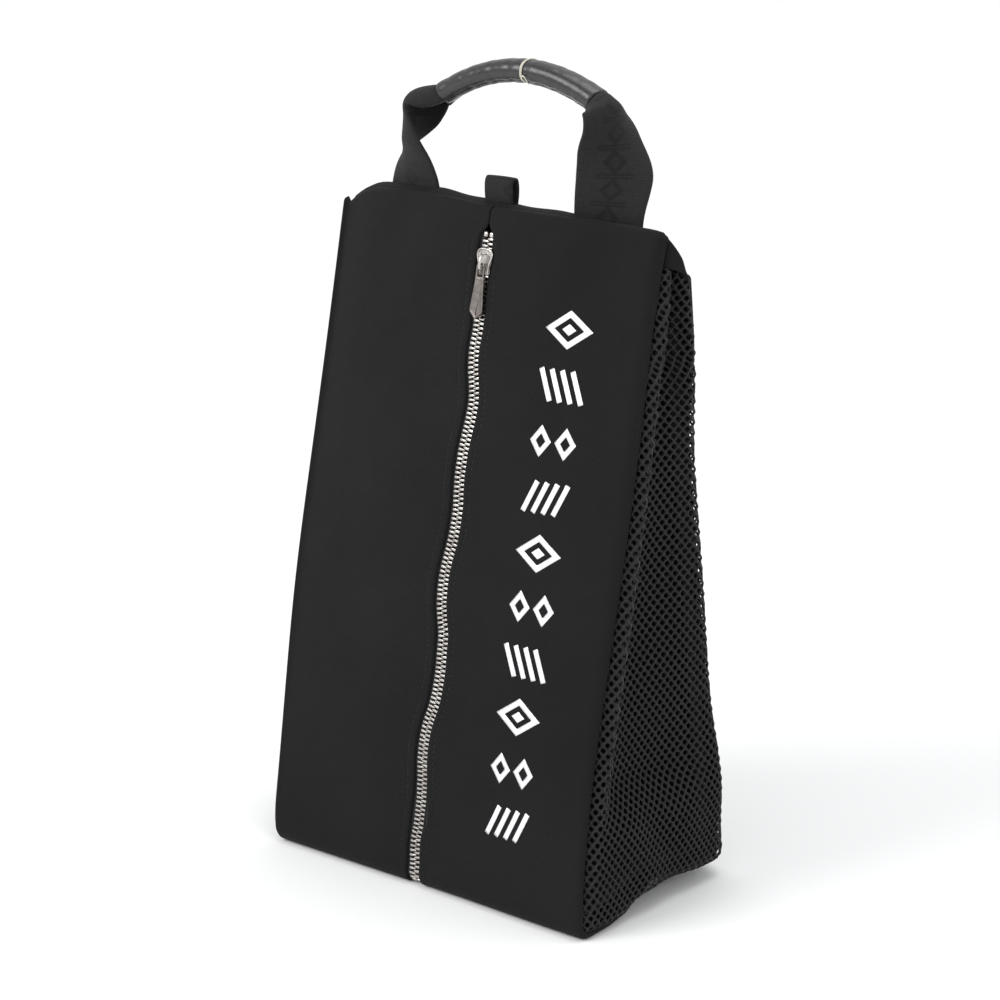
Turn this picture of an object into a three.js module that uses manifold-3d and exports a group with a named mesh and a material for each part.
// Shoe bag: a tall fabric wedge with see-through mesh sides, a centre front zip that
// runs on under the base, and a webbing carry handle with a leather grip.
// Millimetres, +Z up, origin on the floor under the middle of the bag, front towards -Y.
import * as THREE from "three";
import { mergeVertices } from "three/addons/utils/BufferGeometryUtils.js";
import Module from "manifold-3d";

// ---- driving dimensions ----
const HALF_W = 102.5; // half of the width across the front
const HALF_D = 62; // half of the depth of the base
const H_FRONT = 347; // height of the front top seam
const H_BACK = 327; // height of the rear top seam
const FABRIC = 1.6; // padded panel fabric
const EDGE_R = 10; // bend radius of the bottom edges
const SEAM_GAP = 0.3; // clearance where two panels meet
const FRONT_SEAM_Y = -6; // cross seam under the base, where the front panels end
const BACK_SEAM_Y = 48; // cross seam under the base, where the back panel ends

// Zip. Depths are measured inwards from the front panel's outer face.
const SLOT = 5.5; // half width of the opening the zip sits in
const ZIP_Z = 335; // height where the opening starts
const ZIP_END_Y = -12; // where the zip ends under the base
const TAPE_T = 0.8; // tape thickness
const TAPE_IN = 1.8; // depth of the tape's outer face
const CHAIN_IN = 2.2; // depth of the middle of the teeth
const SLIDER_Z = 320; // height of the slider when the zip is shut
const LEAN = -0.026; // run in X for each mm down: to the left

// Handle
const HANDLE_Y = 7; // webbing roots, behind the front top seam
const ROOT_X = 62; // middle of each webbing root
const ROOT_Z = 343.8; // lower end of the webbing
const WEB_W = 37; // webbing width
const WEB_T = 1.8;
const GRIP_Y = 11;
const GRIP_W = 15;
const GRIP_H = 11;

// ---- small tools ----
const vec = (x, y, z) => new THREE.Vector3(x, y, z);
const lerp = (a, b, t) => a + (b - a) * t;
const smooth = (t) => {
  const clamped = Math.min(1, Math.max(0, t));
  return clamped * clamped * (3 - 2 * clamped);
};
const span = (n) => Array.from({ length: n + 1 }, (_, i) => i / n); // 0 to 1 in n steps
const circle = (n) => Array.from({ length: n }, (_, i) => (i / n) * 2 * Math.PI);
const addQuad = (tris, a, b, c, d) => tris.push([a, b, c], [a, c, d]);

// An indexed geometry whose triangles are flipped if they enclose a negative volume.
function geometryOf(points, tris) {
  let volume = 0;
  for (const [i, j, k] of tris) {
    volume += points[i].dot(points[j].clone().cross(points[k]));
  }
  const order = volume < 0 ? tris.map(([i, j, k]) => [i, k, j]) : tris;
  const coordinates = points.flatMap((p) => [p.x, p.y, p.z]);
  const geometry = new THREE.BufferGeometry();
  geometry.setAttribute("position", new THREE.Float32BufferAttribute(coordinates, 3));
  geometry.setIndex(order.flat());
  return geometry;
}

// A wall between two grids of points, closed round its edges.
// With wrap, each row of the grid is a ring and the wall is a tube.
function shell(outer, inner, wrap = false) {
  const n = outer.length;
  const m = outer[0].length;
  const steps = wrap ? m : m - 1;
  const out = (i, j) => i * m + (j % m);
  const inn = (i, j) => n * m + out(i, j);
  const tris = [];
  for (let i = 0; i + 1 < n; i++) {
    for (let j = 0; j < steps; j++) {
      addQuad(tris, out(i, j), out(i + 1, j), out(i + 1, j + 1), out(i, j + 1));
      addQuad(tris, inn(i, j), inn(i, j + 1), inn(i + 1, j + 1), inn(i + 1, j));
    }
    if (wrap) continue;
    addQuad(tris, out(i, 0), inn(i, 0), inn(i + 1, 0), out(i + 1, 0));
    addQuad(tris, out(i, m - 1), out(i + 1, m - 1), inn(i + 1, m - 1), inn(i, m - 1));
  }
  const last = n - 1;
  for (let j = 0; j < steps; j++) {
    addQuad(tris, out(0, j), out(0, j + 1), inn(0, j + 1), inn(0, j));
    addQuad(tris, out(last, j), inn(last, j), inn(last, j + 1), out(last, j + 1));
  }
  return geometryOf([...outer.flat(), ...inner.flat()], tris);
}

// A shell whose two grids come from one function of depth.
const panel = ([outerDepth, innerDepth], gridAt) => shell(gridAt(outerDepth), gridAt(innerDepth));

// A solid through rings of points: capped at both ends, or closed from last ring to first.
function sweep(rings, closed) {
  const n = rings.length;
  const m = rings[0].length;
  const tris = [];
  for (let i = 0; i < (closed ? n : n - 1); i++) {
    const next = (i + 1) % n;
    for (let j = 0; j < m; j++) {
      const k = (j + 1) % m;
      addQuad(tris, i * m + j, next * m + j, next * m + k, i * m + k);
    }
  }
  if (!closed) {
    const end = (n - 1) * m;
    for (let j = 1; j + 1 < m; j++) tris.push([0, j, j + 1], [end, end + j + 1, end + j]);
  }
  return geometryOf(rings.flat(), tris);
}

const block = (w, d, h, x, y, z) => new THREE.BoxGeometry(w, d, h).translate(x, y, z);

// Half an outline with its mirror image; a point on the centre line isn't repeated.
const mirrored = (half) => [
  ...half,
  ...half.filter(([x]) => x !== 0).map(([x, z]) => [-x, z]).reverse(),
];

function extrude(outline, depth, hole) {
  const vectors = (table) => table.map(([x, y]) => new THREE.Vector2(x, y));
  const shape = new THREE.Shape(vectors(outline));
  if (hole) shape.holes.push(new THREE.Path(vectors(hole)));
  return new THREE.ExtrudeGeometry(shape, { depth, bevelEnabled: false });
}

// An (x, z) outline made solid from y - thickness to y.
const plate = (outline, thickness, y, hole) =>
  extrude(outline, thickness, hole).rotateX(Math.PI / 2).translate(0, y, 0);

const manifold = await Module();
manifold.setup();

function toSolid(geometry) {
  geometry.deleteAttribute("normal");
  geometry.deleteAttribute("uv");
  const merged = mergeVertices(geometry, 1e-4);
  return new manifold.Manifold(new manifold.Mesh({
    numProp: 3,
    vertProperties: merged.attributes.position.array,
    triVerts: new Uint32Array(merged.index.array),
  }));
}

function union(geometries) {
  const mesh = geometries.map(toSolid).reduce((whole, part) => whole.add(part)).getMesh();
  const geometry = new THREE.BufferGeometry();
  const positions = new Float32Array(mesh.vertProperties);
  geometry.setAttribute("position", new THREE.BufferAttribute(positions, 3));
  geometry.setIndex(new THREE.BufferAttribute(new Uint32Array(mesh.triVerts), 1));
  return geometry;
}

// ---- materials ----
const standard = (settings) => new THREE.MeshStandardMaterial(settings);
const MATERIALS = {
  fabric: standard({ color: 0x262425, roughness: 0.85 }),
  mesh: standard({ color: 0x1d1d1f, roughness: 0.8 }),
  webbing: standard({ color: 0x2c2a2b, roughness: 0.8 }),
  tape: standard({ color: 0x141314, roughness: 0.9 }),
  leather: standard({ color: 0x161616, roughness: 0.3 }),
  metal: standard({ color: 0xb9ada3, roughness: 0.3, metalness: 1 }),
  darkMetal: standard({ color: 0x8a7c72, roughness: 0.35, metalness: 1 }),
  cord: standard({ color: 0xd8cfa8, roughness: 0.7 }),
  board: standard({ color: 0x101010, roughness: 0.6 }),
  binding: standard({ color: 0x1a191a, roughness: 0.9 }),
};

// ---- the side profile that the front, base and back follow ----
const zipX = (z) => LEAN * (SLIDER_Z - z); // middle of the zip at that height
// Half width at fraction s down a wall; bow is how far the edge swells halfway.
const edgeHalf = (s, bow) => HALF_W + bow * Math.sin(Math.PI * s);
// Top seams in the YZ plane; t runs from -1 at the left edge to 1 at the right.
const frontTop = (t) => vec(0, -7 + 10 * t * t, H_FRONT - 1 - 3 * Math.abs(t) ** 3);
const backTop = (t) => vec(0, 17 + 3 * t * t, H_BACK - 4 * t ** 4);

// Points and outward normals in the YZ plane: down a wall, round its bottom edge, along the base.
// cuts.wall and cuts.base are fractions of the straight runs; cuts.arc is the steps in the bend.
function wallPath(top, cornerY, endY, inward, cuts) {
  const direction = Math.sign(endY - cornerY);
  const corner = vec(0, cornerY, 0);
  const down = corner.clone().sub(top).normalize();
  const along = vec(0, direction, 0);
  const reach = EDGE_R / Math.tan(Math.acos(-down.dot(along)) / 2);
  const bendStart = corner.clone().addScaledVector(down, -reach);
  const bendEnd = corner.clone().addScaledVector(along, reach);
  const centre = bendEnd.clone().add(vec(0, 0, EDGE_R));
  const wallNormal = vec(0, direction * down.z, -direction * down.y);
  const startAngle = Math.atan2(wallNormal.z, wallNormal.y);
  const endAngle = direction > 0 ? 1.5 * Math.PI : -0.5 * Math.PI;

  const path = [];
  const add = (point, normal) =>
    path.push({ point: point.addScaledVector(normal, -inward), normal });
  for (const f of cuts.wall) add(top.clone().lerp(bendStart, f), wallNormal);
  for (let i = 1; i < cuts.arc; i++) {
    const angle = lerp(startAngle, endAngle, i / cuts.arc);
    const normal = vec(0, Math.cos(angle), Math.sin(angle));
    add(centre.clone().addScaledVector(normal, EDGE_R), normal);
  }
  for (const f of cuts.base) add(bendEnd.clone().lerp(vec(0, endY, 0), f), vec(0, 0, -1));
  return path;
}

// ---- front panels, left and right of the zip ----
const FRONT_BOW = 1.6;
const CUT_RUN = 336; // length that turns distances down the front into cut fractions
const OPENING_STEP = 2; // the panel edge steps out from this far above ZIP_Z to this far below
const FRONT_CUTS = {
  wall: [
    0, (H_FRONT - ZIP_Z - OPENING_STEP) / CUT_RUN, (H_FRONT - ZIP_Z + OPENING_STEP) / CUT_RUN,
    0.1, 0.2, 0.35, 0.5, 0.65, 0.8, 0.92, 1,
  ],
  arc: 4,
  base: [0, 0.5, 1],
};

function frontPanel(side) {
  const columns = [0, 0.12, 0.3, 0.5, 0.7, 0.86, 1]; // from the zip to the side edge
  return panel([0, FABRIC], (depth) => columns.map((f) => {
    const path = wallPath(frontTop(f), -HALF_D, FRONT_SEAM_Y, depth, FRONT_CUTS);
    return path.map(({ point }, i) => {
      const inner = side * (i <= 1 ? SEAM_GAP : SLOT) + zipX(point.z);
      const outer = side * edgeHalf(FRONT_CUTS.wall[i] ?? 1, FRONT_BOW);
      return point.setX(lerp(inner, outer, f));
    });
  }));
}

// ---- back and base panels ----
const BACK_BOW = -0.8;
const BACK_CUTS = { wall: [0, 0.12, 0.25, 0.4, 0.55, 0.7, 0.85, 1], arc: 4, base: [0, 1] };

function backPanel() {
  const columns = [-1, -0.8, -0.5, -0.2, 0.2, 0.5, 0.8, 1];
  return panel([0, FABRIC], (depth) => columns.map((t) =>
    wallPath(backTop(t), HALF_D, BACK_SEAM_Y, depth, BACK_CUTS).map(({ point }, i) =>
      point.setX(t * edgeHalf(BACK_CUTS.wall[i] ?? 1, BACK_BOW)))));
}

function basePanel() {
  const y0 = FRONT_SEAM_Y + SEAM_GAP;
  const y1 = BACK_SEAM_Y - SEAM_GAP;
  return block(2 * HALF_W, y1 - y0, FABRIC, 0, (y0 + y1) / 2, FABRIC / 2);
}

// ---- top panel: an arch across the top whose ends turn down over the sides ----
// A station has f, its place across the top from -1 to 1, and turn, how far it has bent over.
// v runs from 0 at the front seam to 1 at the back seam.
function topPoint({ f, turn, hem }, v, depth) {
  const radius = lerp(6, 3.5, v);
  const x = f * (HALF_W - radius) + radius * Math.sin(turn);
  const t = x / HALF_W;
  const front = frontTop(t);
  const back = backTop(t);
  // The top stays high and then drops to the back; nearer the sides it falls more evenly.
  const power = lerp(4, 1.15, smooth((Math.abs(t) - 0.62) / 0.3));
  const drop = front.z - back.z - 1.4;
  const crest = front.z - 1.6 - drop * v ** power;
  const z = hem
    ? lerp(front.z - 16.6, back.z - 5.4, v)
    : crest - radius * (1 - Math.cos(turn));
  const y0 = front.y + 2 + 0.16 * (z - crest);
  const y1 = back.y - 2 - 0.13 * (z - crest);
  const fall = (-power * drop * v ** (power - 1)) / (y1 - y0);
  const normal = vec(Math.sin(turn), -fall * Math.cos(turn) ** 3, Math.cos(turn)).normalize();
  return vec(x, lerp(y0, y1, v), z).addScaledVector(normal, -depth);
}

function topPanel() {
  const quarter = Math.PI / 2;
  const rightEnd = span(4).slice(1).map((q) => ({ f: 1, turn: q * quarter }));
  rightEnd.push({ f: 1, turn: quarter, hem: true });
  const leftEnd = rightEnd.map((end) => ({ ...end, f: -1, turn: -end.turn })).reverse();
  const across = span(8).map((q) => ({ f: 2 * q - 1, turn: 0 }));
  const stations = [...leftEnd, ...across, ...rightEnd];
  const rows = [0, 0.25, 0.45, 0.62, 0.76, 0.89, 1];
  return panel([0, FABRIC], (depth) =>
    stations.map((station) => rows.map((v) => topPoint(station, v, depth))));
}

// ---- mesh sides ----
const MESH_T = 2.2; // spacer mesh thickness
const MESH_INSET = 2.65; // from the front and back faces to the edges of the mesh
const MESH_BOTTOM_INSET = 2.4; // further inset of the lowest row
const MESH_TOP_Z = 344; // height the front edge of the mesh is drawn towards
const MESH_ROWS = [2.6, 14, 28, 45, 62, 78, 110, 160, 215, 265, 300, 325.4]; // heights
const FOLD = 13; // deepest inward fold
const FOLD_START_Z = 42;
const FOLD_FULL_Z = 78; // height where the fold is deepest
const BELLY_TOP_Z = 60; // the mesh bulges outwards below this

function meshRow(side, depth, z) {
  const down = 1 - z / MESH_TOP_Z;
  const bend = z < EDGE_R ? EDGE_R - Math.sqrt(EDGE_R ** 2 - (EDGE_R - z) ** 2) : 0;
  const inset = bend + MESH_INSET + (z < 12 ? MESH_BOTTOM_INSET : 0);
  const y0 = lerp(-HALF_D, frontTop(1).y, z / MESH_TOP_Z) + inset;
  const y1 = lerp(HALF_D, backTop(1).y, z / backTop(1).z) - inset;
  const fold = z < FOLD_FULL_Z
    ? FOLD * smooth((z - FOLD_START_Z) / (FOLD_FULL_Z - FOLD_START_Z))
    : lerp(FOLD, 5, (z - FOLD_FULL_Z) / 252);
  const belly = z < BELLY_TOP_Z ? 3 * Math.sin((Math.PI * z) / BELLY_TOP_Z) : 0;
  const edge = HALF_W - 0.1 + 1.2 * Math.sin(Math.PI * down);
  return span(10).map((f) => {
    const wave = Math.sin(Math.PI * f);
    const x = edge - fold * wave ** 1.6 + belly * wave - depth;
    return vec(side * x, lerp(y0, y1, f), z * (1 - 0.028 * f));
  });
}
const meshSide = (side) =>
  panel([0, MESH_T], (depth) => MESH_ROWS.map((z) => meshRow(side, depth, z)));

// ---- zip: tapes and two rows of teeth that follow the front, the bottom edge and the base ----
// The middle of the chain; s is the distance along it from the top seam.
const chain = wallPath(frontTop(0), -HALF_D, ZIP_END_Y, CHAIN_IN, {
  wall: span(60), arc: 24, base: span(24),
});
chain.forEach((station, i) => {
  const previous = chain[i - 1];
  station.s = previous ? previous.s + station.point.distanceTo(previous.point) : 0;
});
const frontSlope = Math.atan2(frontTop(0).y + HALF_D, frontTop(0).z);
const chainStart = (frontTop(0).z - ZIP_Z + 3) / Math.cos(frontSlope);
const chainEnd = chain[chain.length - 1].s;

// The point x to the side of the chain at distance s, raised outwards by lift.
function zipPoint(x, s, lift) {
  const i = chain.findIndex((station) => station.s >= s);
  const a = chain[i - 1];
  const b = chain[i];
  const t = (s - a.s) / (b.s - a.s);
  const point = a.point.clone().lerp(b.point, t);
  const normal = a.normal.clone().lerp(b.normal, t).normalize();
  const middle = zipX(point.z);
  return point.addScaledVector(normal, lift).setX(x + middle);
}

const TAPE_X = [3.25, 9, 16]; // across the tape, from the middle of the zip
function zipTape(side) {
  const bend = span(5).map((f) => 336 + f * 16); // closer stations round the bottom edge
  const stations = [
    chainStart - 2, chainStart + 20, 90, 180, 270, 330, ...bend, 365, chainEnd,
  ];
  return panel([TAPE_IN, TAPE_IN + TAPE_T], (depth) =>
    stations.map((s) => TAPE_X.map((x) => zipPoint(side * x, s, CHAIN_IN - depth))));
}

// One row: a rail along the tape with teeth reaching in towards the middle.
const PITCH = 2.35; // tooth pitch of one row
const TOOTH_T = 2.4; // tooth height
const TOOTH_L = 1.25; // tooth length along the zip
const RAIL_OUT = 3; // distances from the middle of the zip
const RAIL_IN = 1.9;
const TIP = 0.55;

function zipTeeth(side) {
  const phase = side > 0 ? 0 : PITCH / 2; // the rows interlock
  const count = Math.floor((chainEnd - chainStart - 3 - PITCH) / PITCH);
  const points = [];
  const tris = [];
  const quad = (...corners) => addQuad(tris, ...corners);
  const add = (x, s, lift) => points.push(zipPoint(side * x, s, lift)) - 1;
  // Point numbers of a cross section, on the outer face and the back of the rail and tooth.
  const section = (s, toothStart) => ({
    toothStart,
    railFace: add(RAIL_OUT, s, TOOTH_T / 2),
    railBack: add(RAIL_OUT, s, -TOOTH_T / 2),
    rootFace: add(RAIL_IN, s, TOOTH_T / 2),
    rootBack: add(RAIL_IN, s, -TOOTH_T / 2),
    tipFace: add(TIP, s, TOOTH_T / 2),
    tipBack: add(TIP, s, -TOOTH_T / 2),
  });
  const sections = [];
  for (let k = 0; k < count; k++) {
    const s = chainStart + 1 + phase + k * PITCH;
    sections.push(section(s, true), section(s + TOOTH_L, false));
  }
  sections.forEach((a, i) => {
    if (a.toothStart) quad(a.rootFace, a.tipFace, a.tipBack, a.rootBack);
    else quad(a.rootFace, a.rootBack, a.tipBack, a.tipFace);
    const b = sections[i + 1];
    if (!b) return;
    quad(a.railFace, b.railFace, b.rootFace, a.rootFace);
    quad(a.railBack, a.rootBack, b.rootBack, b.railBack);
    quad(a.railFace, a.railBack, b.railBack, b.railFace);
    if (a.toothStart) {
      quad(a.rootFace, b.rootFace, b.tipFace, a.tipFace);
      quad(a.rootBack, a.tipBack, b.tipBack, b.rootBack);
      quad(a.tipFace, b.tipFace, b.tipBack, a.tipBack);
    } else {
      quad(a.rootFace, b.rootFace, b.rootBack, a.rootBack);
    }
  });
  const first = sections[0];
  const last = sections[sections.length - 1];
  quad(first.railFace, first.rootFace, first.rootBack, first.railBack);
  quad(last.railFace, last.railBack, last.rootBack, last.rootFace);
  return geometryOf(points, tris);
}

// A stop: a clip centred on x, from s0 to s1 along the zip.
function zipStop(x, width, s0, s1) {
  const left = x - width / 2;
  const right = x + width / 2;
  const corners = [[left, 1.5], [right, 1.5], [right, -1.5], [left, -1.5]]; // x, lift
  return sweep([s0, s1].map((s) => corners.map(([cx, lift]) => zipPoint(cx, s, lift))), false);
}
const topStop = (side) => zipStop(side * 1.8, 2.3, chainStart - 2, chainStart + 0.4);
const bottomStop = () => zipStop(0, 6, chainEnd - 2.4, chainEnd - 0.1);

// ---- slider and pull, in the slider's own frame: X across, Z up the zip, -Y outwards ----
// Outlines are (x, z). The flanges line both sides of each plate.
const SLIDER_PLATE = mirrored([[3.4, -6.6], [3.6, -2.5], [4.6, 1.2], [5, 3.6], [4.6, 5.6], [3, 6.6]]);
const FRONT_FLANGE = [
  [3.3, -6.2], [3.45, -6.2], [3.55, -2.6], [4.3, 1.1], [4.6, 3.4], [4.3, 4.9],
  [3.5, 4.9], [3.7, 3.4], [3.4, 1],
];
const BACK_FLANGE = [
  [3.3, -6.2], [3.45, -6.2], [3.5, -2.6], [4.2, 1.1], [4.4, 3.4], [4.2, 4.9],
  [3.5, 4.9], [3.7, 3.4], [3.4, 1],
];
const scaledX = (outline, factor) => outline.map(([x, z]) => [factor * x, z]);

// The arched bridge on the slider's front that holds the pull.
function sliderBridge() {
  const width = 1.8;
  // Points (z, y); a negative reach runs the curve the other way.
  const curve = (reach, rise) => span(10).map((f) => [
    -0.3 - reach * Math.cos(f * Math.PI),
    -0.6 - rise * Math.sin(f * Math.PI) ** 0.7,
  ]);
  const frame = new THREE.Matrix4().makeBasis(vec(0, 0, 1), vec(0, 1, 0), vec(-1, 0, 0));
  return extrude([...curve(4.4, 3.4), ...curve(-3.3, 2.4)], width)
    .applyMatrix4(frame).translate(width / 2, 0, 0);
}

function slider() {
  return union([
    plate(SLIDER_PLATE, 1.2, 0.5),
    plate(scaledX(SLIDER_PLATE, 0.96), 1.2, 5.1),
    block(0.8, 4.6, 2.4, 0, 2.2, 4.9), // post between the plates
    ...[-1, 1].flatMap((side) => [
      plate(scaledX(FRONT_FLANGE, side), 1.3, 1.5),
      plate(scaledX(BACK_FLANGE, side), 1.2, 4.2),
    ]),
    sliderBridge(),
  ]);
}

const BAR_Y = -1.95; // the pull's crossbar, under the bridge
const BAR_Z = -1.2;
const PULL_T = 1.3;
const PULL_OUTLINE = mirrored([
  [2.4, 0.7], [2.75, -0.2], [2.75, -8], [3.1, -12], [4.1, -23.6], [0, -27.8],
]);
const PULL_HOLE = mirrored([[-1.5, -0.65], [-1.5, -5.9], [-0.8, -6.8]]);
const pull = () => plate(PULL_OUTLINE, PULL_T, PULL_T / 2, PULL_HOLE);

// ---- handle ----
const GRIP_HALF = 47; // half length of the grip in X
const GRIP_TOP_Z = 414.5;
const GRIP_DROP = 14; // how far its ends lie below its middle
const GRIP_POWER = 2.6; // superellipse power of its section: 2 is an oval, more is squarer

// The grip's middle line and direction; f runs from -1 to 1.
const gripPoint = (f) => vec(GRIP_HALF * f, GRIP_Y, GRIP_TOP_Z - GRIP_DROP * f * f);
const gripTangent = (f) => vec(GRIP_HALF, 0, -2 * GRIP_DROP * f).normalize();
// Cosine and sine of an angle on the superellipse.
const gripSection = (angle) => [Math.cos(angle), Math.sin(angle)]
  .map((value) => Math.sign(value) * Math.abs(value) ** (2 / GRIP_POWER));

// Left end of the webbing, from its root up to the grip. The twist is in quarter turns;
// the power is that of the section, as for the grip, and 5 if left out.
const WEBBING_END = [
  // x, y, z, twist, width, thickness, power
  [-ROOT_X, HANDLE_Y, ROOT_Z, 0, WEB_W, WEB_T],
  [-ROOT_X, HANDLE_Y, 351, 0, WEB_W, WEB_T],
  [-ROOT_X, HANDLE_Y, 356, 0.02, WEB_W, WEB_T],
  [-62.1, 7.3, 359, 0.09, WEB_W, WEB_T],
  [-62.2, 7.8, 362, 0.18, WEB_W, WEB_T],
  [-62.2, 8.3, 365, 0.3, WEB_W, WEB_T],
  [-62.2, 8.8, 368, 0.42, WEB_W, WEB_T],
  [-62.1, 9.2, 371.2, 0.56, WEB_W, WEB_T],
  [-62, 9.6, 374.5, 0.7, WEB_W, WEB_T],
  [-61.6, 10, 377.8, 0.81, WEB_W, WEB_T],
  [-61.2, 10.4, 381, 0.9, WEB_W, WEB_T],
  [-60, 11, 387, 0.98, 34, WEB_T],
  [-57.5, 11, 392.4, 1, 29, 2.4],
  [-53, 11, 396.8, 1, 20, 4],
  [-49, 11, 399.2, 1, 11.8, 5.6, GRIP_POWER],
];

function webbingStations() {
  const left = WEBBING_END.map(([x, y, z, twist, width, thickness, power = 5]) =>
    ({ centre: vec(x, y, z), twist, width, thickness, power }));
  const inGrip = [-0.97, -0.7, -0.4, -0.13, 0.13, 0.4, 0.7, 0.97].map((f) =>
    ({ centre: gripPoint(f), twist: 1, width: 11.6, thickness: 6, power: GRIP_POWER }));
  const right = left.map((station) => {
    const { x, y, z } = station.centre;
    return { ...station, centre: vec(-x, y, z), twist: 2 - station.twist };
  }).reverse();
  return [...left, ...inGrip, ...right];
}

function webbing() {
  const stations = webbingStations();
  const last = stations.length - 1;
  const columns = [-1, -0.9, -0.6, -0.2, 0.2, 0.6, 0.9, 1];
  const grid = (face) => stations.map(({ centre, twist, width, thickness, power }, i) => {
    const before = stations[Math.max(0, i - 1)].centre;
    const after = stations[Math.min(last, i + 1)].centre;
    const tangent = after.clone().sub(before).normalize();
    if (i === 0 || i === last) tangent.set(0, 0, i ? -1 : 1);
    // across turns from +X at the left root, through -Y over the grip, to -X at the right root
    const turn = (twist * Math.PI) / 2;
    const across = vec(Math.cos(turn), -Math.sin(turn), 0);
    across.addScaledVector(tangent, -across.dot(tangent)).normalize();
    const through = across.clone().cross(tangent).normalize();
    return columns.map((k) => {
      const thinning = Math.max(0.42, (1 - Math.abs(k) ** power) ** (1 / power));
      return centre.clone()
        .addScaledVector(across, (k * width) / 2)
        .addScaledVector(through, face * (thickness / 2) * thinning);
    });
  });
  return shell(grid(1), grid(-1));
}

function grip() {
  const stations = [-1, -0.8, -0.55, -0.3, -0.1, 0.1, 0.3, 0.55, 0.8, 1];
  const across = vec(0, 1, 0);
  const rings = (width, height) => stations.map((f) => {
    const through = gripTangent(f).cross(across).normalize();
    return circle(12).map((angle) => {
      const [c, s] = gripSection(angle + Math.PI / 12);
      return gripPoint(f)
        .addScaledVector(across, (c * width) / 2)
        .addScaledVector(through, (s * height) / 2);
    });
  });
  return shell(rings(GRIP_W, GRIP_H), rings(12.9, 7.2), true);
}

// A cord ring round the grip, just right of its middle.
function cord() {
  const clearance = 0.85; // from the grip's surface to the cord's middle line
  const loop = circle(20).map((angle) => {
    const outward = vec(0, Math.cos(angle), Math.sin(angle));
    const [c, s] = gripSection(angle);
    const centre = gripPoint(0.03)
      .add(vec(0, c * (GRIP_W / 2 + clearance), s * (GRIP_H / 2 + clearance)));
    return circle(5).map((a) => centre.clone()
      .addScaledVector(outward, 0.55 * Math.cos(a))
      .add(vec(0.7 * Math.sin(a), 0, 0)));
  });
  return sweep(loop, true);
}

// ---- hang loop: a doubled tape, pinched where it is sewn ----
const LOOP_Y = 2.6;
const LOOP_Z = 345.7;
const LOOP_W = 17.4;
// Outlines are (y, z) from the sewn end.
const LOOP_OUTLINE = mirrored([[1.1, 0], [2.2, 1.6], [3, 4.6], [3.1, 10.5], [2.5, 13], [1.3, 14]]);
const LOOP_HOLE = mirrored([[0.3, 2.6], [1.5, 5], [1.7, 10.4], [1.2, 12], [0.5, 12.5]]);

function hangLoop() {
  const frame = new THREE.Matrix4().makeBasis(vec(0, 1, 0), vec(0, 0, 1), vec(1, 0, 0));
  return extrude(LOOP_OUTLINE, LOOP_W, LOOP_HOLE)
    .applyMatrix4(frame).translate(-LOOP_W / 2, LOOP_Y, LOOP_Z);
}

// ---- seam binding inside the front and back edges, and the stiffener in the base ----
const BINDING_X = [90, 97];
const BINDING_CUTS = { wall: [0.06, 0.35, 0.65, 0.98], arc: 1, base: [] };

const binding = (side, top, cornerY) =>
  panel([FABRIC + 0.4, FABRIC + 1.4], (depth) => BINDING_X.map((x) =>
    wallPath(top, cornerY, 0, depth, BINDING_CUTS).map(({ point }) => point.setX(side * x))));
const baseBoard = () => block(186, 98, 2.4, 0, 0, 5.8);

// ---- the assembly ----
const bag = new THREE.Group();

function addMesh(parent, name, geometry, material) {
  const mesh = new THREE.Mesh(geometry, material);
  mesh.name = name;
  parent.add(mesh);
}
function addPair(name, build, material) {
  addMesh(bag, `${name}_left`, build(-1), material);
  addMesh(bag, `${name}_right`, build(1), material);
}

addPair("front_panel", frontPanel, MATERIALS.fabric);
addMesh(bag, "back_panel", backPanel(), MATERIALS.fabric);
addMesh(bag, "base_panel", basePanel(), MATERIALS.fabric);
addMesh(bag, "top_panel", topPanel(), MATERIALS.fabric);
addPair("mesh_side", meshSide, MATERIALS.mesh);
addMesh(bag, "base_board", baseBoard(), MATERIALS.board);
for (const [name, top, cornerY] of [
  ["seam_binding_front", frontTop(0.93), -HALF_D],
  ["seam_binding_back", backTop(0.93), HALF_D],
]) {
  addPair(name, (side) => binding(side, top, cornerY), MATERIALS.binding);
}
addPair("zip_tape", zipTape, MATERIALS.tape);
addPair("zip_teeth", zipTeeth, MATERIALS.metal);
addPair("zip_top_stop", topStop, MATERIALS.metal);
addMesh(bag, "zip_bottom_stop", bottomStop(), MATERIALS.metal);

// The slider's frame sits on the front face, with its Z axis up the leaning zip.
const runner = new THREE.Group();
const runnerY = lerp(-HALF_D, frontTop(0).y, SLIDER_Z / frontTop(0).z);
runner.position.set(0, runnerY, SLIDER_Z);
const zipUp = vec(-LEAN, Math.tan(frontSlope), 1).normalize();
const zipAcross = vec(1, 0, 0).addScaledVector(zipUp, -zipUp.x).normalize();
runner.quaternion.setFromRotationMatrix(
  new THREE.Matrix4().makeBasis(zipAcross, zipUp.clone().cross(zipAcross), zipUp),
);
bag.add(runner);
addMesh(runner, "zip_slider", slider(), MATERIALS.metal);

const tab = new THREE.Group();
tab.position.set(0, BAR_Y, BAR_Z);
runner.add(tab);
addMesh(tab, "zip_pull", pull(), MATERIALS.darkMetal);

addMesh(bag, "handle_webbing", webbing(), MATERIALS.webbing);
addMesh(bag, "handle_grip", grip(), MATERIALS.leather);
addMesh(bag, "grip_cord", cord(), MATERIALS.cord);
addMesh(bag, "hang_loop", hangLoop(), MATERIALS.fabric);

export default bag;
